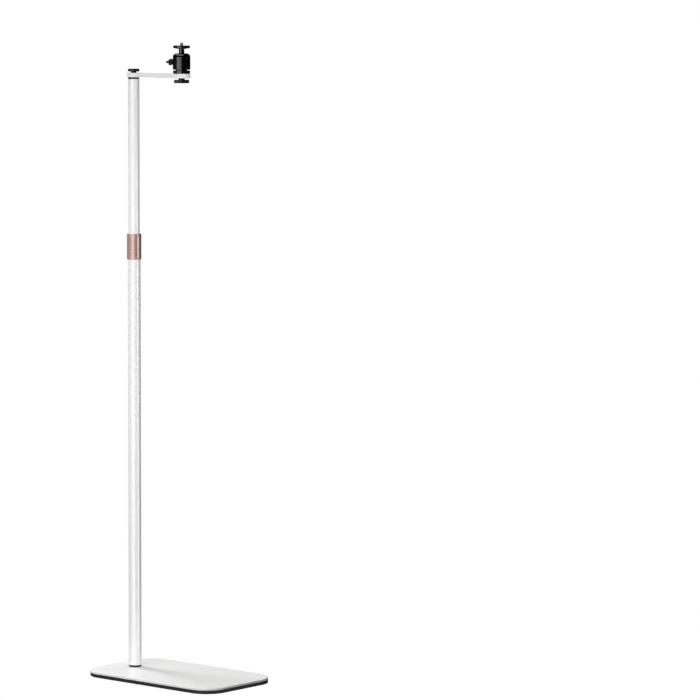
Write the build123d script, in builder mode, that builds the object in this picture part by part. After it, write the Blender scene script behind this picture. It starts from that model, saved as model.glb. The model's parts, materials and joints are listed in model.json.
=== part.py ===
import os
from math import cos, radians, sin

from build123d import *

# Portable projector stand. Millimetres, +Z up, origin at the middle of the base on the floor.
# +X runs along the base, from the pole's end towards the end the arm reaches over.

# Weighted base.
base_length = 340.0
base_width = 200.0
base_corner = 45.0
pad_height = 7.0
pad_inset = 0.5
pad_edge = 0.3
plate_height = 4.0
plate_edge = 1.2
pole_from_end = 52.5

# Bolt that holds the pole to the plate from underneath.
bolt_radius = 5.0
bolt_head_radius = 9.0
bolt_head_height = 4.0
bolt_key = 4.6
bolt_key_depth = 2.4
bolt_recess_radius = 12.0
bolt_reach = 14.0

# Telescopic pole.
lower_radius = 12.5
lower_wall = 1.2
upper_wall = 1.0
slide_gap = 0.3
foot_flange_height = 3.8
ring_edge = 0.25
plug_depth = 18.0
pole_rise = 1158.6
collar_rise = 806.5
collar_height = 49.5
collar_wall = 1.45
collar_lip = 12.0
collar_edge = 0.8
tube_overlap = 150.0
cap_height = 3.4

# Swing arm.
arm_reach = 127.0
arm_height = 8.4
arm_pole_boss = 13.5
arm_head_boss = 16.8
arm_width = 14.0
arm_edge = 0.3
turn_gap = 0.2
knob_radius = 11.2
knob_height = 5.2
knob_edge = 0.4
knob_dish_radius = 8.0
knob_dish_depth = 0.8
knob_dish_taper = 45.0
knob_neck_radius = 5.4
knob_neck_height = 2.4
knob_stud_depth = 5.0
knob_stud_reach = 9.0
stud_radius = 4.0

# Wing screw under the arm.
wing_hub_radius = 6.0
wing_hub_height = 9.7
wing_span = 29.1
wing_height = 6.7
wing_edge = 0.5
wing_root_radius = 4.2
wing_tip_radius = 1.7
wing_stud_depth = 4.5
wing_yaw = 42.8

# Ball head.
head_yaw = 230.8
head_base_radius = 16.4
head_base_height = 6.1
head_neck_radius = 10.7
head_neck_height = 1.6
housing_radius = 16.9
housing_height = 31.3
housing_shoulder = 7.0
head_edge = 0.4
ball_radius = 11.5
ball_drop = 15.6
seat_gap = 0.1
mouth_radius = 10.4
mouth_edge = 0.6
stem_radius = 5.4
stem_gap = 0.8
stem_rise = 24.0
lock_drop = 16.7
lock_radius = 2.6
lock_gap = 1.4
lock_hub_radius = 5.2
lock_length = 6.0
lock_bite = 4.0
lock_span = 17.4
lock_blade = 5.6
lock_roll = -57.0
lock_corner = 1.6
lock_edge = 0.6
lock_flare = 1.5
lock_tip_radius = 2.3
lock_tip_length = 4.0

# Platform and its camera screw.
platform_radius = 16.3
platform_cone = 1.8
platform_rim = 3.4
platform_edge = 0.4
platform_pad_height = 1.4
spigot_radius = 4.0
spigot_height = 2.4
screw_radius = 3.175
screw_rise = 5.5
screw_root = 2.0
screw_root_radius = 2.6
screw_edge = 0.5

# Fits.
pin_gap = 0.08
press_gap = 0.05

# Levels and places that follow from the sizes above.
pole_x = pole_from_end - base_length / 2
head_x = pole_x + arm_reach
plate_top = pad_height + plate_height
tube_foot = plate_top + foot_flange_height
lower_bore = lower_radius - lower_wall
upper_radius = lower_bore - slide_gap
upper_bore = upper_radius - upper_wall
collar_bottom = plate_top + collar_rise
collar_top = collar_bottom + collar_height
lower_top = collar_top - collar_lip
upper_bottom = collar_top - tube_overlap
upper_top = plate_top + pole_rise
arm_bottom = upper_top + cap_height + turn_gap
arm_top = arm_bottom + arm_height
wing_bottom = arm_bottom - turn_gap - wing_hub_height
knob_bottom = arm_top + turn_gap
head_bottom = arm_top + turn_gap
neck_bottom = head_bottom + head_base_height
housing_bottom = neck_bottom + head_neck_height
housing_top = housing_bottom + housing_height
ball_z = housing_top - ball_drop
lock_z = housing_top - lock_drop
lock_root = housing_radius + slide_gap
lock_start = housing_radius + lock_gap
lock_face = lock_start + lock_length
lock_end = lock_face + lock_flare + lock_tip_length
platform_bottom = ball_z + stem_rise
rim_bottom = platform_bottom + platform_cone
disc_top = rim_bottom + platform_rim
pad_top = disc_top + platform_pad_height

# Working planes of the pole, the wing screw and the ball head.
pole_plane = Plane(origin=(pole_x, 0, 0), x_dir=(1, 0, 0), z_dir=(0, 0, 1))
pole_section = Plane(origin=(pole_x, 0, 0), x_dir=(1, 0, 0), z_dir=(0, -1, 0))
pole_axis = Axis((pole_x, 0, 0), (0, 0, 1))
wing_dir = (cos(radians(wing_yaw)), sin(radians(wing_yaw)), 0)
wing_plane = Plane(origin=(head_x, 0, 0), x_dir=wing_dir, z_dir=(0, 0, 1))
lock_dir = (cos(radians(head_yaw)), sin(radians(head_yaw)), 0)
side_dir = (-lock_dir[1], lock_dir[0], 0)
slot_dir = (lock_dir[1], -lock_dir[0], 0)
head_plane = Plane(origin=(head_x, 0, 0), x_dir=lock_dir, z_dir=(0, 0, 1))
head_section = Plane(origin=(head_x, 0, 0), x_dir=lock_dir, z_dir=slot_dir)
head_axis = Axis((head_x, 0, 0), (0, 0, 1))
slot_plane = Plane(origin=(head_x, 0, ball_z), x_dir=lock_dir, z_dir=slot_dir)
lock_plane = Plane(origin=(head_x, 0, lock_z), x_dir=side_dir, z_dir=lock_dir)
lock_section = Plane(origin=(head_x, 0, lock_z), x_dir=side_dir, z_dir=(0, 0, -1))
lock_axis = Axis((head_x, 0, lock_z), lock_dir)

os.makedirs("parts", exist_ok=True)

# Rubber pad under the whole plate, with a recess for the bolt's head.
with BuildPart() as base_pad:
    with BuildSketch():
        RectangleRounded(base_length - 2 * pad_inset, base_width - 2 * pad_inset, base_corner - pad_inset)
    extrude(amount=pad_height)
    chamfer(base_pad.faces().sort_by(Axis.Z)[0].edges(), pad_edge)
    with Locations((pole_x, 0, pad_height)):
        Hole(bolt_recess_radius)
base_pad.part.label = "base_pad"
export_step(base_pad.part, "parts/base_pad.step")

# Steel plate with large corners and a softened upper edge.
with BuildPart() as base_plate:
    with BuildSketch(Plane.XY.offset(pad_height)):
        RectangleRounded(base_length, base_width, base_corner)
    extrude(amount=plate_height)
    fillet(base_plate.faces().sort_by(Axis.Z)[-1].edges(), plate_edge)
    with Locations((pole_x, 0, plate_top)):
        Hole(bolt_radius + press_gap)
base_plate.part.label = "base_plate"
export_step(base_plate.part, "parts/base_plate.step")

# Socket-head bolt, its head up inside the pad's recess.
with BuildPart() as base_bolt:
    with BuildSketch(pole_plane.offset(pad_height - bolt_head_height)):
        Circle(bolt_head_radius)
    extrude(amount=bolt_head_height)
    with BuildSketch(pole_plane.offset(pad_height)):
        Circle(bolt_radius)
    extrude(amount=plate_height + bolt_reach)
    with BuildSketch(pole_plane.offset(pad_height - bolt_head_height)):
        RegularPolygon(bolt_key, 6)
    extrude(amount=bolt_key_depth, mode=Mode.SUBTRACT)
base_bolt.part.label = "base_bolt"
export_step(base_bolt.part, "parts/base_bolt.step")

# Foot plug: the dark ring at the foot of the pole and the plug inside the tube.
with BuildPart() as foot_plug:
    with BuildSketch(pole_plane.offset(plate_top)):
        Circle(lower_radius)
    extrude(amount=foot_flange_height)
    chamfer(foot_plug.edges().filter_by(GeomType.CIRCLE), ring_edge)
    with BuildSketch(pole_plane.offset(tube_foot)):
        Circle(lower_bore - press_gap)
    extrude(amount=plug_depth)
    with Locations((pole_x, 0, tube_foot + plug_depth)):
        Hole(bolt_radius + press_gap)
foot_plug.part.label = "foot_plug"
export_step(foot_plug.part, "parts/foot_plug.step")

# Lower tube, from the foot ring up into the collar.
with BuildPart() as lower_tube:
    with BuildSketch(pole_plane.offset(tube_foot)):
        Circle(lower_radius)
        Circle(lower_bore, mode=Mode.SUBTRACT)
    extrude(amount=lower_top - tube_foot)
lower_tube.part.label = "lower_tube"
export_step(lower_tube.part, "parts/lower_tube.step")

# Twist-lock collar: wide bore round the lower tube, inner lip round the upper tube.
with BuildPart() as lock_collar:
    with BuildSketch(pole_plane.offset(collar_bottom)):
        Circle(lower_radius + slide_gap + collar_wall)
    extrude(amount=collar_height)
    chamfer(lock_collar.edges().filter_by(GeomType.CIRCLE), collar_edge)
    with BuildSketch(pole_plane.offset(collar_bottom)):
        Circle(lower_radius + slide_gap)
    extrude(amount=lower_top - collar_bottom + turn_gap, mode=Mode.SUBTRACT)
    with BuildSketch(pole_plane.offset(collar_bottom)):
        Circle(upper_radius + slide_gap)
    extrude(amount=collar_height, mode=Mode.SUBTRACT)
lock_collar.part.label = "lock_collar"
export_step(lock_collar.part, "parts/lock_collar.step")

# Upper tube, sliding inside the lower one.
with BuildPart() as upper_tube:
    with BuildSketch(pole_plane.offset(upper_bottom)):
        Circle(upper_radius)
        Circle(upper_bore, mode=Mode.SUBTRACT)
    extrude(amount=upper_top - upper_bottom)
upper_tube.part.label = "upper_tube"
export_step(upper_tube.part, "parts/upper_tube.step")

# Cap plug: the dark ring under the arm and the plug that takes the knob's stud.
with BuildPart() as tube_cap:
    with BuildSketch(pole_plane.offset(upper_top)):
        Circle(upper_radius)
    extrude(amount=cap_height)
    chamfer(tube_cap.edges().filter_by(GeomType.CIRCLE), ring_edge)
    with BuildSketch(pole_plane.offset(upper_top - plug_depth)):
        Circle(upper_bore - press_gap)
    extrude(amount=plug_depth)
    with Locations((pole_x, 0, upper_top + cap_height)):
        Hole(stud_radius + pin_gap)
tube_cap.part.label = "tube_cap"
export_step(tube_cap.part, "parts/tube_cap.step")

# Swing arm: a flat bar between two round ends.
with BuildPart() as arm_bar:
    with BuildSketch(Plane.XY.offset(arm_bottom)):
        with Locations((pole_x, 0)):
            Circle(arm_pole_boss)
        with Locations((head_x, 0)):
            Circle(arm_head_boss)
        with Locations((pole_x + arm_reach / 2, 0)):
            Rectangle(arm_reach, arm_width)
    extrude(amount=arm_height)
    chamfer(arm_bar.faces().filter_by(Axis.Z).edges(), arm_edge)
    with Locations((pole_x, 0, arm_top), (head_x, 0, arm_top)):
        Hole(stud_radius + pin_gap)
arm_bar.part.label = "arm_bar"
export_step(arm_bar.part, "parts/arm_bar.step")

# Round clamp knob on top of the arm.
with BuildPart() as arm_knob:
    with BuildSketch(pole_section):
        with BuildLine():
            Polyline(
                (0, knob_bottom),
                (knob_neck_radius, knob_bottom),
                (knob_neck_radius, knob_bottom + knob_neck_height),
                (knob_radius, knob_bottom + knob_neck_height),
                (knob_radius, knob_bottom + knob_neck_height + knob_height),
                (0, knob_bottom + knob_neck_height + knob_height),
                close=True,
            )
        make_face()
    revolve(axis=pole_axis)
    rim_edges = arm_knob.edges().filter_by(GeomType.CIRCLE).group_by(SortBy.RADIUS)[-1]
    chamfer(rim_edges, knob_edge)
    with BuildSketch(pole_plane.offset(knob_bottom + knob_neck_height + knob_height)):
        Circle(knob_dish_radius)
    extrude(amount=-knob_dish_depth, taper=knob_dish_taper, mode=Mode.SUBTRACT)
    with BuildSketch(pole_plane.offset(knob_bottom)):
        Circle(stud_radius + press_gap)
    extrude(amount=knob_stud_depth, mode=Mode.SUBTRACT)
arm_knob.part.label = "arm_knob"
export_step(arm_knob.part, "parts/arm_knob.step")

# Steel stud moulded into the knob; it runs through the arm into the cap plug.
with BuildPart() as knob_stud:
    with BuildSketch(pole_plane.offset(upper_top - knob_stud_reach)):
        Circle(stud_radius)
    extrude(amount=knob_bottom + knob_stud_depth - upper_top + knob_stud_reach)
knob_stud.part.label = "knob_stud"
export_step(knob_stud.part, "parts/knob_stud.step")

# Wing screw that clamps the ball head from below; its wings thin out towards their tips.
with BuildPart() as wing_screw:
    with BuildSketch(wing_plane.offset(wing_bottom)):
        Circle(wing_root_radius)
        with GridLocations(wing_span - 2 * wing_tip_radius, 0, 2, 1):
            Circle(wing_tip_radius)
        make_hull()
    extrude(amount=wing_height)
    chamfer(wing_screw.faces().filter_by(Axis.Z).edges(), wing_edge)
    with BuildSketch(head_section):
        with BuildLine():
            Polyline(
                (0, wing_bottom),
                (wing_hub_radius - wing_edge, wing_bottom),
                (wing_hub_radius, wing_bottom + wing_edge),
                (wing_hub_radius, wing_bottom + wing_hub_height),
                (0, wing_bottom + wing_hub_height),
                close=True,
            )
        make_face()
    revolve(axis=head_axis)
    with BuildSketch(wing_plane.offset(wing_bottom + wing_stud_depth)):
        Circle(stud_radius + press_gap)
    extrude(amount=wing_hub_height, mode=Mode.SUBTRACT)
wing_screw.part.label = "wing_screw"
export_step(wing_screw.part, "parts/wing_screw.step")

# Steel stud of the wing screw, up through the arm into the ball head.
with BuildPart() as wing_stud:
    with BuildSketch(wing_plane.offset(wing_bottom + wing_stud_depth)):
        Circle(stud_radius)
    extrude(amount=neck_bottom - turn_gap - wing_bottom - wing_stud_depth)
wing_stud.part.label = "wing_stud"
export_step(wing_stud.part, "parts/wing_stud.step")

# Foot of the ball head: a ring and a narrower neck.
with BuildPart() as head_base:
    with BuildSketch(head_plane.offset(head_bottom)):
        Circle(head_base_radius)
    extrude(amount=head_base_height)
    chamfer(head_base.edges().filter_by(GeomType.CIRCLE), head_edge)
    with BuildSketch(head_plane.offset(neck_bottom)):
        Circle(head_neck_radius)
    extrude(amount=head_neck_height)
    with BuildSketch(head_plane.offset(head_bottom)):
        Circle(stud_radius + pin_gap)
    extrude(amount=head_base_height + turn_gap, mode=Mode.SUBTRACT)
head_base.part.label = "head_base"
export_step(head_base.part, "parts/head_base.step")

# Housing with a round shoulder, the ball's seat, a slot for the stem and the lock's hole.
with BuildPart() as head_housing:
    with BuildSketch(head_plane.offset(housing_bottom)):
        Circle(housing_radius)
    extrude(amount=housing_height)
    fillet(head_housing.faces().sort_by(Axis.Z)[-1].edges(), housing_shoulder)
    chamfer(head_housing.faces().sort_by(Axis.Z)[0].edges(), head_edge)
    with Locations((head_x, 0, ball_z)):
        Sphere(ball_radius + seat_gap, mode=Mode.SUBTRACT)
    with BuildSketch(head_plane.offset(ball_z)):
        Circle(mouth_radius)
    extrude(amount=ball_drop, mode=Mode.SUBTRACT)
    chamfer(head_housing.edges().filter_by(GeomType.CIRCLE).sort_by(Axis.Z)[-1], mouth_edge)
    with BuildSketch(slot_plane):
        Circle(stem_radius + stem_gap)
        Rectangle(2 * (stem_radius + stem_gap), ball_drop, align=(Align.CENTER, Align.MIN))
    extrude(amount=housing_radius, mode=Mode.SUBTRACT)
    with BuildSketch(lock_plane):
        Circle(lock_radius + pin_gap)
    extrude(amount=housing_radius, mode=Mode.SUBTRACT)
head_housing.part.label = "head_housing"
export_step(head_housing.part, "parts/head_housing.step")

# Ball and stem, with a spigot for the platform.
with BuildPart() as ball_stem:
    with Locations((head_x, 0, ball_z)):
        Sphere(ball_radius)
    with BuildSketch(head_plane.offset(ball_z)):
        Circle(stem_radius)
    extrude(amount=stem_rise - turn_gap)
    with BuildSketch(head_plane.offset(ball_z)):
        Circle(spigot_radius)
    extrude(amount=stem_rise + spigot_height)
ball_stem.part.label = "ball_stem"
export_step(ball_stem.part, "parts/ball_stem.step")

# Steel shaft of the lock, from the ball's seat out to the knob.
with BuildPart() as lock_shaft:
    with BuildSketch(lock_plane.offset(ball_radius + stem_gap)):
        Circle(lock_radius)
    extrude(amount=lock_start + lock_bite - ball_radius - stem_gap)
lock_shaft.part.label = "lock_shaft"
export_step(lock_shaft.part, "parts/lock_shaft.step")

# Winged lock knob: two blades clear of the housing, a round hub close to it and a boss at the outer end.
with BuildPart() as lock_knob:
    with BuildSketch(lock_plane.offset(lock_start)):
        with Locations(Rotation(0, 0, lock_roll)):
            RectangleRounded(lock_blade, lock_span, lock_corner)
    extrude(amount=lock_length)
    chamfer(lock_knob.faces().filter_by(lock_plane).edges(), lock_edge)
    with BuildSketch(lock_section):
        with BuildLine():
            Polyline(
                (0, lock_root),
                (lock_hub_radius, lock_root),
                (lock_hub_radius, lock_face),
                (lock_tip_radius, lock_face + lock_flare),
                (lock_tip_radius, lock_end - lock_edge),
                (lock_tip_radius - lock_edge, lock_end),
                (0, lock_end),
                close=True,
            )
        make_face()
    revolve(axis=lock_axis)
    with BuildSketch(lock_plane.offset(lock_root)):
        Circle(lock_radius + press_gap)
    extrude(amount=lock_start + lock_bite - lock_root, mode=Mode.SUBTRACT)
lock_knob.part.label = "lock_knob"
export_step(lock_knob.part, "parts/lock_knob.step")

# Platform disc: a shallow cone up from the stem, then a straight rim.
with BuildPart() as platform_disc:
    with BuildSketch(head_section):
        with BuildLine():
            Polyline(
                (0, platform_bottom),
                (stem_radius, platform_bottom),
                (platform_radius, rim_bottom),
                (platform_radius, disc_top),
                (0, disc_top),
                close=True,
            )
        make_face()
    revolve(axis=head_axis)
    rim_edges = platform_disc.edges().filter_by(GeomType.CIRCLE).group_by(SortBy.RADIUS)[-1]
    chamfer(rim_edges.sort_by(Axis.Z)[0], platform_edge)
    with BuildSketch(head_plane.offset(platform_bottom)):
        Circle(spigot_radius + pin_gap)
    extrude(amount=spigot_height + turn_gap, mode=Mode.SUBTRACT)
    with BuildSketch(head_plane.offset(disc_top - screw_root)):
        Circle(screw_root_radius + press_gap)
    extrude(amount=screw_root, mode=Mode.SUBTRACT)
platform_disc.part.label = "platform_disc"
export_step(platform_disc.part, "parts/platform_disc.step")

# Rubber facing of the platform.
with BuildPart() as platform_pad:
    with BuildSketch(head_plane.offset(disc_top)):
        Circle(platform_radius)
    extrude(amount=platform_pad_height)
    chamfer(platform_pad.faces().sort_by(Axis.Z)[-1].edges(), platform_edge)
    with Locations((head_x, 0, pad_top)):
        Hole(screw_radius + slide_gap)
platform_pad.part.label = "platform_pad"
export_step(platform_pad.part, "parts/platform_pad.step")

# Quarter-inch camera screw.
with BuildPart() as mount_screw:
    with BuildSketch(head_plane.offset(disc_top - screw_root)):
        Circle(screw_root_radius)
    extrude(amount=screw_root + platform_pad_height)
    with BuildSketch(head_plane.offset(pad_top)):
        Circle(screw_radius)
    extrude(amount=screw_rise)
    chamfer(mount_screw.faces().sort_by(Axis.Z)[-1].edges(), screw_edge)
mount_screw.part.label = "mount_screw"
export_step(mount_screw.part, "parts/mount_screw.step")
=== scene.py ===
import bpy
import json
import math
from mathutils import Matrix, Vector


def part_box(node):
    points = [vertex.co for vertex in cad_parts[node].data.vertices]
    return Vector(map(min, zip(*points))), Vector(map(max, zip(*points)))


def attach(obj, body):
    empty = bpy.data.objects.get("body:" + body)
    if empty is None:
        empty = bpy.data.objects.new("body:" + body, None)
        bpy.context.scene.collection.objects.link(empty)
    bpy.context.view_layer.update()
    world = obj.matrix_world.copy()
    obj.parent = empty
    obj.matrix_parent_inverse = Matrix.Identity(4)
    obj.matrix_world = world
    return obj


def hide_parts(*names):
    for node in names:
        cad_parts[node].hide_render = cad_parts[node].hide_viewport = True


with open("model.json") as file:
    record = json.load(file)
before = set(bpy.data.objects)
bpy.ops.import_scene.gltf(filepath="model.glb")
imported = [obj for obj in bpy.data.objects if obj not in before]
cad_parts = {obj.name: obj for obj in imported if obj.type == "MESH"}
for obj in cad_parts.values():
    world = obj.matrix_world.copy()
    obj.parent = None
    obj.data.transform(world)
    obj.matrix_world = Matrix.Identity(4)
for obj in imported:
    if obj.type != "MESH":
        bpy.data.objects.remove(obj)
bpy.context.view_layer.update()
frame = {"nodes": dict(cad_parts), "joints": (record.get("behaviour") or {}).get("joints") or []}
nodes = frame["nodes"]

mmPerMetre = 1000.0


def linear(hexColour):  # sRGB hex to the linear colour that shaders take
    parts = [int(hexColour[i:i + 2], 16) / 255 for i in (1, 3, 5)]
    return [c / 12.92 if c <= 0.04045 else ((c + 0.055) / 1.055) ** 2.4 for c in parts] + [1.0]


def perMetre(millimetres):  # texture scale for features of this size
    return mmPerMetre / millimetres


def addNode(owner, kind, inputs=None, **settings):  # one node with its settings, values and links
    tree = owner.node_tree
    node = tree.nodes.new(kind)
    for name, value in settings.items():
        setattr(node, name, value)
    for socket, value in (inputs or {}).items():
        if isinstance(value, bpy.types.NodeSocket):
            tree.links.new(value, node.inputs[socket])
        else:
            node.inputs[socket].default_value = value
    return node


def newMaterial(name):
    material = bpy.data.materials.new(name)
    material.use_nodes = True
    material.node_tree.nodes.clear()
    return material


# Colour, roughness and relief follow their patterns; shine holds the values that are the same all over
def finishMaterial(m, spec, tintBy, sheenBy, relief, shine):
    tint = addNode(m, "ShaderNodeMix", {
        "Factor": tintBy, "A": linear(spec["tints"][0]), "B": linear(spec["tints"][1])},
        data_type="RGBA")
    sheen = addNode(m, "ShaderNodeMapRange", {
        "Value": sheenBy, "To Min": spec["sheen"][0], "To Max": spec["sheen"][1]})
    bump = addNode(m, "ShaderNodeBump", {
        "Height": relief, "Strength": spec["reliefStrength"],
        "Distance": spec["reliefDepth"] / mmPerMetre})
    shader = addNode(m, "ShaderNodeBsdfPrincipled", {
        "Base Color": tint.outputs["Result"], "Roughness": sheen.outputs["Result"],
        "Normal": bump.outputs["Normal"], **shine})
    addNode(m, "ShaderNodeOutputMaterial", {"Surface": shader.outputs["BSDF"]})
    return m


def dress(material, *names):  # CAD pieces keep their mesh and take a better finish
    for name in names:
        slots = nodes[name].data.materials
        slots.clear()
        slots.append(material)


# In each finish the patterns and the relief's depth are in millimetres; tints and sheen, which
# is roughness, run from the low to the high of their pattern

# Polyester powder coat, baked on steel plate: satin white, a slow orange peel that
# breaks up the edge of each reflection, and a faint cloudiness in the white
powderCoat = {
    "tints": ("#f1f1f0", "#e9e9e8"), "cloud": 80.0, "cloudDetail": 3.0,
    "peel": 2.4, "peelDetail": 2.0, "reliefDepth": 0.08, "reliefStrength": 0.45,
    "sheen": (0.36, 0.48), "ior": 1.5,
}


def makePowderCoat(spec):
    m = newMaterial("powderCoatedSteel")
    place = addNode(m, "ShaderNodeTexCoord").outputs["Object"]
    cloud = addNode(m, "ShaderNodeTexNoise", {
        "Vector": place, "Scale": perMetre(spec["cloud"]), "Detail": spec["cloudDetail"]})
    peel = addNode(m, "ShaderNodeTexNoise", {
        "Vector": place, "Scale": perMetre(spec["peel"]), "Detail": spec["peelDetail"]})
    return finishMaterial(m, spec, cloud.outputs["Fac"], peel.outputs["Fac"], peel.outputs["Fac"], {
        "IOR": spec["ior"]})


# Sprayed white enamel under clear lacquer on drawn steel tube: a clean white with upright
# highlights in the lacquer and a long, low orange peel; the draw lines show through as faint
# lengthwise streaks
tubeEnamel = {
    "tints": ("#f7f7f7", "#f1f1f1"), "streak": 1.6, "streakRun": 260.0, "streakDetail": 2.0,
    "peel": 5.0, "peelDetail": 2.0, "reliefDepth": 0.008, "reliefStrength": 0.25,
    "sheen": (0.2, 0.3), "ior": 1.52, "lacquer": 1.0, "lacquerRoughness": 0.1, "lacquerIor": 1.6,
}


def makeTubeEnamel(spec):
    m = newMaterial("satinEnamelOnDrawnTube")
    place = addNode(m, "ShaderNodeTexCoord").outputs["Object"]
    across, lengthwise = perMetre(spec["streak"]), perMetre(spec["streakRun"])
    along = addNode(m, "ShaderNodeMapping", {"Vector": place, "Scale": (across, across, lengthwise)})
    streak = addNode(m, "ShaderNodeTexNoise", {
        "Vector": along.outputs["Vector"], "Scale": 1.0,  # the mapping has scaled it
        "Detail": spec["streakDetail"]})
    peel = addNode(m, "ShaderNodeTexNoise", {
        "Vector": place, "Scale": perMetre(spec["peel"]), "Detail": spec["peelDetail"]})
    return finishMaterial(m, spec, streak.outputs["Fac"], streak.outputs["Fac"], peel.outputs["Fac"], {
        "IOR": spec["ior"], "Coat Weight": spec["lacquer"],
        "Coat Roughness": spec["lacquerRoughness"], "Coat IOR": spec["lacquerIor"]})


# Painted zinc casting: a slightly greyer white than the tubes, with the soft grain of
# paint over a cast skin
castPaint = {
    "tints": ("#f4f4f3", "#ececeb"), "cloud": 24.0, "cloudDetail": 2.0,
    "skin": 1.1, "skinDetail": 4.0, "skinCoarseness": 0.6, "reliefDepth": 0.02, "reliefStrength": 0.35,
    "sheen": (0.34, 0.46), "ior": 1.5,
}


def makeCastPaint(spec):
    m = newMaterial("paintedZincCasting")
    place = addNode(m, "ShaderNodeTexCoord").outputs["Object"]
    cloud = addNode(m, "ShaderNodeTexNoise", {
        "Vector": place, "Scale": perMetre(spec["cloud"]), "Detail": spec["cloudDetail"]})
    skin = addNode(m, "ShaderNodeTexNoise", {
        "Vector": place, "Scale": perMetre(spec["skin"]), "Detail": spec["skinDetail"],
        "Roughness": spec["skinCoarseness"]})
    return finishMaterial(m, spec, cloud.outputs["Fac"], skin.outputs["Fac"], skin.outputs["Fac"], {
        "IOR": spec["ior"]})


# Moulded nitrile rubber: matt charcoal black, a pebbled mould grain, paler clouds of
# filler through the black
rubber = {
    "tints": ("#111112", "#232324"), "cloud": 30.0, "cloudDetail": 5.0, "cloudCoarseness": 0.65,
    "grain": 0.9, "reliefDepth": 0.12, "reliefStrength": 0.5, "sheen": (0.58, 0.74), "ior": 1.52,
}


def makeRubber(spec):
    m = newMaterial("mouldedNitrileRubber")
    place = addNode(m, "ShaderNodeTexCoord").outputs["Object"]
    cloud = addNode(m, "ShaderNodeTexNoise", {
        "Vector": place, "Scale": perMetre(spec["cloud"]), "Detail": spec["cloudDetail"],
        "Roughness": spec["cloudCoarseness"]})
    grain = addNode(m, "ShaderNodeTexVoronoi", {
        "Vector": place, "Scale": perMetre(spec["grain"])}, feature="SMOOTH_F1")
    return finishMaterial(m, spec, cloud.outputs["Fac"], cloud.outputs["Fac"], grain.outputs["Distance"], {
        "IOR": spec["ior"]})


# Glass-filled nylon from a spark-eroded mould: satin black that greys where the fine
# pits of the mould catch light; the pits are drawn four times coarser so that they show
nylon = {
    "tints": ("#070707", "#0e0e0f"), "cloud": 9.0, "cloudDetail": 3.0,
    "pit": 0.6, "pitDetail": 4.0, "pitCoarseness": 0.6, "reliefDepth": 0.03, "reliefStrength": 0.45,
    "sheen": (0.2, 0.32), "ior": 1.53, "specular": 0.35,
}


def makeNylon(spec):
    m = newMaterial("mouldedBlackNylon")
    place = addNode(m, "ShaderNodeTexCoord").outputs["Object"]
    cloud = addNode(m, "ShaderNodeTexNoise", {
        "Vector": place, "Scale": perMetre(spec["cloud"]), "Detail": spec["cloudDetail"]})
    pit = addNode(m, "ShaderNodeTexNoise", {
        "Vector": place, "Scale": perMetre(spec["pit"]), "Detail": spec["pitDetail"],
        "Roughness": spec["pitCoarseness"]})
    return finishMaterial(m, spec, cloud.outputs["Fac"], pit.outputs["Fac"], pit.outputs["Fac"], {
        "IOR": spec["ior"], "Specular IOR Level": spec["specular"]})


# Turned aluminium, bead blasted and anodised black: the clear alumina layer over black dye
# gives a deep black with bright upright highlights, broken up by the blasted grain, which is
# drawn five times coarser so that it shows
blackAnodise = {
    "tints": ("#020202", "#060607"), "cloud": 12.0, "cloudDetail": 3.0,
    "grain": 0.5, "grainDetail": 3.0, "grainCoarseness": 0.6, "reliefDepth": 0.016, "reliefStrength": 0.35,
    "sheen": (0.11, 0.17), "ior": 1.76, "specular": 0.4,
}


def makeBlackAnodise(spec):
    m = newMaterial("blackAnodisedAluminium")
    place = addNode(m, "ShaderNodeTexCoord").outputs["Object"]
    cloud = addNode(m, "ShaderNodeTexNoise", {
        "Vector": place, "Scale": perMetre(spec["cloud"]), "Detail": spec["cloudDetail"]})
    grain = addNode(m, "ShaderNodeTexNoise", {
        "Vector": place, "Scale": perMetre(spec["grain"]), "Detail": spec["grainDetail"],
        "Roughness": spec["grainCoarseness"]})
    return finishMaterial(m, spec, cloud.outputs["Fac"], grain.outputs["Fac"], grain.outputs["Fac"], {
        "IOR": spec["ior"], "Specular IOR Level": spec["specular"]})


# Turned aluminium, anodised rose gold: pink metal, half hidden by the dye, whose fine lathe
# lines run round it and draw the highlights out upwards; the lines are drawn five times
# coarser so that they show
roseGold = {
    "tints": ("#bda09a", "#ae8f88"), "cloud": 14.0, "cloudDetail": 2.0,
    "line": 0.5, "lineRun": 90.0, "lineDetail": 3.0, "lineCoarseness": 0.6,
    "reliefDepth": 0.006, "reliefStrength": 0.6, "sheen": (0.24, 0.32), "metallic": 0.55,
}


def makeRoseGold(spec):
    m = newMaterial("roseGoldAnodisedAluminium")
    place = addNode(m, "ShaderNodeTexCoord").outputs["Object"]
    sideways, upward = perMetre(spec["lineRun"]), perMetre(spec["line"])
    around = addNode(m, "ShaderNodeMapping", {"Vector": place, "Scale": (sideways, sideways, upward)})
    line = addNode(m, "ShaderNodeTexNoise", {
        "Vector": around.outputs["Vector"], "Scale": 1.0,  # the mapping has scaled it
        "Detail": spec["lineDetail"], "Roughness": spec["lineCoarseness"]})
    cloud = addNode(m, "ShaderNodeTexNoise", {
        "Vector": place, "Scale": perMetre(spec["cloud"]), "Detail": spec["cloudDetail"]})
    return finishMaterial(m, spec, cloud.outputs["Fac"], line.outputs["Fac"], line.outputs["Fac"], {
        "Metallic": spec["metallic"]})


# Zinc-plated steel: bright cool grey, mottled by the passivation, soft at the edges of each
# reflection from the crystal grain, which is drawn coarser so that it shows
zincSteel = {
    "tints": ("#cfd0d1", "#b3b1a8"), "cloud": 3.0, "cloudDetail": 3.0,
    "grain": 0.35, "grainDetail": 2.0, "reliefDepth": 0.01, "reliefStrength": 0.3,
    "sheen": (0.2, 0.34), "metallic": 1.0,
}


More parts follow.
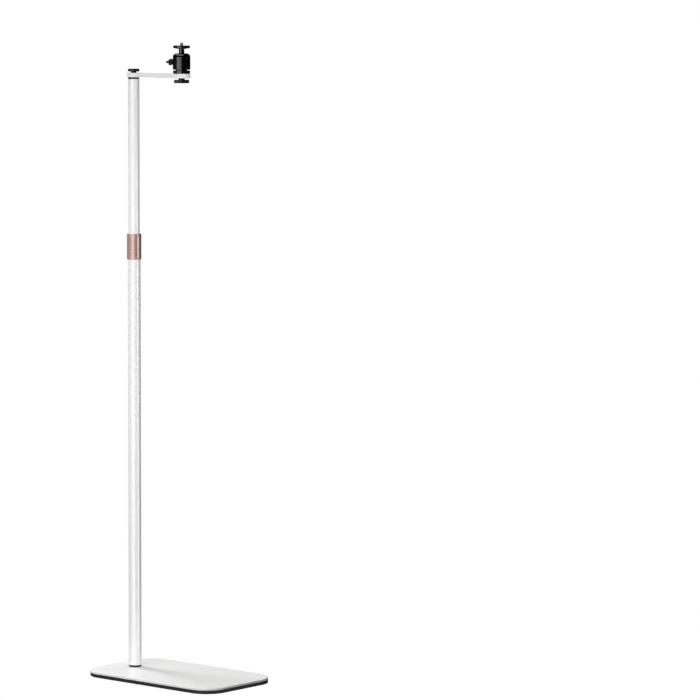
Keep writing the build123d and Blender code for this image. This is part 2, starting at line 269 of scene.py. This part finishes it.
def makeZincSteel(spec):
    m = newMaterial("zincPlatedSteel")
    place = addNode(m, "ShaderNodeTexCoord").outputs["Object"]
    cloud = addNode(m, "ShaderNodeTexNoise", {
        "Vector": place, "Scale": perMetre(spec["cloud"]), "Detail": spec["cloudDetail"]})
    grain = addNode(m, "ShaderNodeTexNoise", {
        "Vector": place, "Scale": perMetre(spec["grain"]), "Detail": spec["grainDetail"]})
    return finishMaterial(m, spec, cloud.outputs["Fac"], cloud.outputs["Fac"], grain.outputs["Fac"], {
        "Metallic": spec["metallic"]})


steelFinish = makeZincSteel(zincSteel)
dress(makePowderCoat(powderCoat), "base_plate")
dress(makeTubeEnamel(tubeEnamel), "lower_tube", "upper_tube")
dress(makeCastPaint(castPaint), "arm_bar")
dress(makeRubber(rubber), "base_pad", "platform_pad")
dress(makeNylon(nylon), "foot_plug", "tube_cap", "arm_knob", "wing_screw", "lock_knob")
dress(makeBlackAnodise(blackAnodise), "head_base", "head_housing", "ball_stem", "platform_disc")
dress(makeRoseGold(roseGold), "lock_collar")
dress(steelFinish, "base_bolt", "knob_stud", "wing_stud")
print("finishes on the CAD pieces")

# Quarter-inch camera screw, 20 turns to the inch, on its plain root in the platform (mm)
cameraScrew = {
    "pitch": 1.27, "outer": 3.175, "core": 2.62, "crest": 0.17, "root": 0.3,
    "plainRadius": 2.6, "plainLength": 2.4, "tip": 0.5, "sides": 56,
}

# Lock shaft with a 5 mm screw's pitch, from the ball's seat out into the knob (mm)
lockThread = {
    "pitch": 0.8, "outer": 2.58, "core": 2.15, "crest": 0.1, "root": 0.2,
    "plainRadius": 2.1, "plainLength": 0.6, "tip": 0.4, "sides": 56,
}

spareTurns = 2  # the helix goes at least this many turns past each end of the blank
turnWeld = 0.001  # share of the pitch within which one turn's edge joins the next one's
endFace = 0.9  # a normal that points this far up or down is an end face's
sliver = 0.002  # mm, the size of the splinters that a cut leaves behind
smoothUpTo = 35.0  # degrees, sharper edges stay sharp


def selectFaces(piece, wanted):  # stays in edit mode, with only the faces that pass the test selected
    bpy.ops.mesh.select_all(action="DESELECT")
    bpy.ops.object.mode_set(mode="OBJECT")
    for face in piece.data.polygons:
        face.select = wanted(face)
    bpy.ops.object.mode_set(mode="EDIT")


def applyAll(piece):  # leaves the piece active and alone selected, with its modifiers in its mesh
    bpy.ops.object.select_all(action="DESELECT")
    piece.select_set(True)
    bpy.context.view_layer.objects.active = piece
    for modifier in list(piece.modifiers):
        bpy.ops.object.modifier_apply(modifier=modifier.name)


def helixBody(spec, length):  # one tooth of the thread, swept up the axis and closed
    depth = spec["outer"] - spec["core"]
    flank = (spec["pitch"] - spec["crest"] - spec["root"]) / 2
    bpy.ops.object.select_all(action="DESELECT")
    bpy.ops.mesh.primitive_plane_add(size=1.0, location=(0.0, 0.0, 0.0))
    helix = bpy.context.active_object
    bpy.ops.object.mode_set(mode="EDIT")
    bpy.ops.mesh.select_mode(type="VERT")
    bpy.ops.mesh.select_all(action="SELECT")
    bpy.ops.mesh.merge(type="CENTER")
    bpy.ops.transform.translate(value=(spec["core"], 0.0, -spareTurns * spec["pitch"]))
    halfRoot = (0.0, spec["root"] / 2)
    tooth = (halfRoot, (depth, flank), (0.0, spec["crest"]), (-depth, flank), halfRoot)
    for out, up in tooth:
        bpy.ops.mesh.extrude_region_move(TRANSFORM_OT_translate={"value": (out, 0.0, up)})
    bpy.ops.object.mode_set(mode="OBJECT")
    sweepUp = helix.modifiers.new("thread", "SCREW")
    sweepUp.screw_offset = spec["pitch"]
    sweepUp.iterations = math.ceil(length / spec["pitch"]) + 2 * spareTurns
    sweepUp.steps = sweepUp.render_steps = spec["sides"]
    applyAll(helix)
    bpy.ops.object.mode_set(mode="EDIT")
    bpy.ops.mesh.select_all(action="SELECT")
    bpy.ops.mesh.remove_doubles(threshold=spec["pitch"] * turnWeld)
    bpy.ops.mesh.fill_holes(sides=0)
    bpy.ops.mesh.select_all(action="SELECT")
    bpy.ops.mesh.normals_make_consistent(inside=False)
    bpy.ops.object.mode_set(mode="OBJECT")
    return helix


def screwBlank(spec, length):  # the turned blank: plain root below, full diameter above, broken edge on top
    bpy.ops.object.select_all(action="DESELECT")
    run = length - spec["plainLength"]
    bpy.ops.mesh.primitive_cylinder_add(
        vertices=spec["sides"], radius=spec["outer"], depth=run,
        location=(0.0, 0.0, spec["plainLength"] + run / 2))
    blank = bpy.context.active_object
    bpy.ops.object.transform_apply(location=True)
    bpy.ops.object.mode_set(mode="EDIT")
    bpy.ops.mesh.select_mode(type="FACE")
    selectFaces(blank, lambda face: face.normal.z > endFace)
    bpy.ops.mesh.bevel(offset=spec["tip"], segments=1, affect="EDGES")
    selectFaces(blank, lambda face: face.normal.z < -endFace)
    bpy.ops.mesh.inset(thickness=spec["outer"] - spec["plainRadius"], depth=0.0)
    bpy.ops.mesh.extrude_region_move(TRANSFORM_OT_translate={"value": (0.0, 0.0, -spec["plainLength"])})
    bpy.ops.object.mode_set(mode="OBJECT")
    return blank


def threadedRod(name, spec, foot, along, length):  # foot in metres, along a unit direction, length in mm
    helix = helixBody(spec, length)
    blank = screwBlank(spec, length)
    cut = blank.modifiers.new("thread", "BOOLEAN")
    cut.operation, cut.solver, cut.object = "INTERSECT", "EXACT", helix
    applyAll(blank)
    bpy.ops.object.mode_set(mode="EDIT")
    bpy.ops.mesh.select_all(action="SELECT")
    bpy.ops.mesh.remove_doubles(threshold=sliver)
    bpy.ops.mesh.dissolve_degenerate(threshold=sliver)
    bpy.ops.object.mode_set(mode="OBJECT")
    bpy.data.objects.remove(helix)
    blank.name = blank.data.name = name
    turned = along.to_track_quat("Z", "Y").to_matrix().to_4x4()
    blank.matrix_world = Matrix.Translation(foot) @ turned @ Matrix.Scale(1 / mmPerMetre, 4)
    bpy.ops.object.transform_apply(location=True, rotation=True, scale=True)
    bpy.ops.object.shade_smooth_by_angle(angle=math.radians(smoothUpTo))
    blank.data.materials.clear()
    blank.data.materials.append(steelFinish)
    return blank


screwLow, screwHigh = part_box("mount_screw")
screwFoot = Vector(((screwLow[0] + screwHigh[0]) / 2, (screwLow[1] + screwHigh[1]) / 2, screwLow[2]))
screwLength = (screwHigh[2] - screwLow[2]) * mmPerMetre
screwPiece = threadedRod("cameraScrewThread", cameraScrew, screwFoot, Vector((0.0, 0.0, 1.0)), screwLength)
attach(screwPiece, "platform")
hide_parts("mount_screw")

lockJoint = next(joint for joint in frame["joints"] if joint["name"] == "lock_turn")
lockAxis, lockCentre = Vector(lockJoint["axis"]).normalized(), Vector(lockJoint["pos_m"])
lockReach = [(vertex.co - lockCentre).dot(lockAxis) for vertex in nodes["lock_shaft"].data.vertices]
lockFoot = lockCentre + lockAxis * min(lockReach)
lockLength = (max(lockReach) - min(lockReach)) * mmPerMetre
lockPiece = threadedRod("lockShaftThread", lockThread, lockFoot, lockAxis, lockLength)
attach(lockPiece, "lock")
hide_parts("lock_shaft")
print("threads cut:", len(screwPiece.data.polygons), "and", len(lockPiece.data.polygons), "faces")

# Camera at the photograph's viewing angle, found from the base's edges and the pole's lean
# (metres, degrees, pixels of the photograph, and millimetres for the sensor)
photoCamera = {
    "azimuth": 42.765, "distance": 7.3946, "height": 1.3368,
    "pan": -2.584, "pitch": 5.334, "roll": 0.16,
    "focalPixels": 3820.0, "framePixels": 700.0, "sensor": 36.0, "farClip": 5000.0,
}


def makeCamera(spec):
    side, turn = math.radians(spec["azimuth"]), math.radians(spec["azimuth"] + spec["pan"])
    pitch, roll = math.radians(spec["pitch"]), math.radians(spec["roll"])
    place = Vector((math.sin(side) * spec["distance"], -math.cos(side) * spec["distance"], spec["height"]))
    ahead = Vector((-math.sin(turn) * math.cos(pitch), math.cos(turn) * math.cos(pitch), -math.sin(pitch)))
    level = Vector((math.cos(turn), math.sin(turn), 0.0))
    upright = level.cross(ahead)
    right = level * math.cos(roll) + upright * math.sin(roll)
    up = upright * math.cos(roll) - level * math.sin(roll)
    data = bpy.data.cameras.new("photoCamera")
    data.sensor_width = spec["sensor"]
    data.lens = spec["focalPixels"] / spec["framePixels"] * spec["sensor"]
    data.clip_end = spec["farClip"]
    camera = bpy.data.objects.new("photoCamera", data)
    bpy.context.scene.collection.objects.link(camera)
    turned = Matrix((right, up, -ahead)).transposed().to_4x4()
    camera.matrix_world = Matrix.Translation(place) @ turned
    bpy.context.scene.camera = camera


makeCamera(photoCamera)
print("camera set")

# Soft boxes round the stand, in metres and degrees: angles run from the camera's side,
# positive to its right; glow is the panel's brightness, so its power follows from its size;
# a panel that isn't mirrored lights the stand without showing in its gloss, one that doesn't
# wash shows only in gloss; spares and only name the pieces a panel is flagged off or kept to
softBoxes = {
    "keyBox": {
        "angle": -40.0, "distance": 1.7, "height": 0.325, "wide": 1.9, "tall": 1.25,
        "aim": 0.325, "glow": 1.62, "mirrored": True, "washes": True},
    "keyStrip": {
        "angle": -14.5, "distance": 1.6, "height": 0.325, "wide": 0.78, "tall": 1.25,
        "aim": 0.325, "glow": 1.95, "mirrored": True, "washes": True},
    "frontFill": {
        "angle": 20.0, "distance": 1.6, "height": 0.365, "wide": 0.7, "tall": 1.33,
        "aim": 0.365, "glow": 0.65, "mirrored": True, "washes": True},
    "sideStrip": {
        "angle": 68.0, "distance": 1.6, "height": 0.35, "wide": 0.5, "tall": 1.3,
        "aim": 0.35, "glow": 4.5, "mirrored": True, "washes": False},
    "rightFill": {
        "angle": 34.0, "distance": 1.6, "height": 0.45, "wide": 0.7, "tall": 1.4,
        "aim": 0.45, "glow": 1.45, "mirrored": False, "washes": True,
        "spares": ("base_plate", "base_pad")},
    "leftFill": {
        "angle": -110.0, "distance": 1.7, "height": 0.41, "wide": 2.0, "tall": 1.42,
        "aim": 0.41, "glow": 0.7, "mirrored": True, "washes": True},
    "rearFill": {
        "angle": -160.0, "distance": 1.7, "height": 0.325, "wide": 1.0, "tall": 1.25,
        "aim": 0.325, "glow": 0.5, "mirrored": True, "washes": True},
    "backBox": {
        "angle": -137.0, "distance": 2.2, "height": 2.2, "wide": 0.85, "tall": 1.1,
        "aim": 0.1, "glow": 16.5, "mirrored": False, "washes": True},
    "overhead": {
        "angle": 140.0, "distance": 3.2, "height": 10.0, "wide": 8.6, "tall": 8.6,
        "aim": 0.0, "glow": 3.05, "mirrored": False, "washes": True},
    "topPanel": {
        "angle": -40.0, "distance": 0.2, "height": 1.98, "wide": 0.72, "tall": 0.72,
        "aim": 1.2, "glow": 3.0, "mirrored": True, "washes": False},
    "rimPanel": {
        "angle": -122.0, "distance": 1.25, "height": 2.7, "wide": 0.8, "tall": 0.6,
        "aim": 1.2, "glow": 5.0, "mirrored": True, "washes": False},
    "headKey": {
        "angle": -45.0, "distance": 1.6, "height": 1.13, "wide": 1.2, "tall": 0.3,
        "aim": 1.13, "glow": 2.3, "mirrored": True, "washes": True},
    "headFront": {
        "angle": -13.0, "distance": 1.6, "height": 1.13, "wide": 0.62, "tall": 0.3,
        "aim": 1.13, "glow": 1.5, "mirrored": True, "washes": True},
    "armFill": {
        "angle": -45.0, "distance": 1.6, "height": 1.2, "wide": 0.8, "tall": 0.5,
        "aim": 1.2, "glow": 4.2, "mirrored": False, "washes": True},
    "poleFill": {
        "angle": 38.0, "distance": 1.6, "height": 1.1, "wide": 0.8, "tall": 0.6,
        "aim": 1.1, "glow": 4.7, "mirrored": False, "washes": True,
        "spares": ("base_plate", "base_pad")},
    "baseWash": {
        "angle": -43.0, "distance": 1.6, "height": 1.6, "wide": 0.9, "tall": 0.9,
        "aim": 0.0, "glow": 1.8, "mirrored": False, "washes": True,
        "only": ("base_plate",)},
}


def makeSoftBox(name, spec, towards):
    angle = math.radians(towards + spec["angle"])
    place = Vector((math.sin(angle) * spec["distance"], -math.cos(angle) * spec["distance"], spec["height"]))
    data = bpy.data.lights.new(name, "AREA")
    data.shape = "RECTANGLE"
    data.size, data.size_y = spec["wide"], spec["tall"]
    data.energy = spec["glow"] * math.pi * spec["wide"] * spec["tall"]
    box = bpy.data.objects.new(name, data)
    bpy.context.scene.collection.objects.link(box)
    aim = Vector((0.0, 0.0, spec["aim"])) - place
    box.matrix_world = Matrix.Translation(place) @ aim.to_track_quat("-Z", "Y").to_matrix().to_4x4()
    box.visible_camera = False
    box.visible_glossy, box.visible_diffuse = spec["mirrored"], spec["washes"]
    if "spares" in spec or "only" in spec:
        reach = bpy.data.collections.new(name + "Reach")
        for piece in spec.get("spares", spec.get("only")):
            reach.objects.link(nodes[piece])
        for member in reach.collection_objects:
            member.light_linking.link_state = "EXCLUDE" if "spares" in spec else "INCLUDE"
        box.light_linking.receiver_collection = reach


for boxName, boxSpec in softBoxes.items():
    makeSoftBox(boxName, boxSpec, photoCamera["azimuth"])
print("soft boxes:", len(softBoxes))

# White sweep, its size in metres: bright to the camera, dimmer as a source of light on the
# stand; the room behind it is as bright to the camera and gives no light of its own
sweep = {"size": 3000.0, "seen": 1.0, "bounce": 0.16, "world": 0.0, "colour": "#ffffff"}


def makeSweep(spec):
    bpy.ops.object.select_all(action="DESELECT")
    bpy.ops.mesh.primitive_plane_add(size=spec["size"], location=(0.0, 0.0, 0.0))
    floor = bpy.context.active_object
    floor.name = "studioFloor"
    floor.visible_glossy = False
    floor.visible_shadow = False  # the panels reach below it, so it throws no shadow
    m = newMaterial("paperSweep")
    ray = addNode(m, "ShaderNodeLightPath")
    glow = addNode(m, "ShaderNodeMapRange", {
        "Value": ray.outputs["Is Camera Ray"], "To Min": spec["bounce"], "To Max": spec["seen"]})
    paper = addNode(m, "ShaderNodeEmission", {
        "Color": linear(spec["colour"]), "Strength": glow.outputs["Result"]})
    addNode(m, "ShaderNodeOutputMaterial", {"Surface": paper.outputs["Emission"]})
    m.cycles.emission_sampling = "NONE"  # far too large to be sampled as a lamp
    floor.data.materials.append(m)
    world = bpy.data.worlds.new("studio")
    world.use_nodes = True
    world.node_tree.nodes.clear()
    ray = addNode(world, "ShaderNodeLightPath")
    glow = addNode(world, "ShaderNodeMapRange", {
        "Value": ray.outputs["Is Camera Ray"], "To Min": spec["world"], "To Max": spec["seen"]})
    room = addNode(world, "ShaderNodeBackground", {
        "Color": linear(spec["colour"]), "Strength": glow.outputs["Result"]})
    addNode(world, "ShaderNodeOutputWorld", {"Surface": room.outputs["Background"]})
    bpy.context.scene.world = world


makeSweep(sweep)
bpy.context.scene.view_settings.view_transform = "Standard"
print("sweep and world ready")
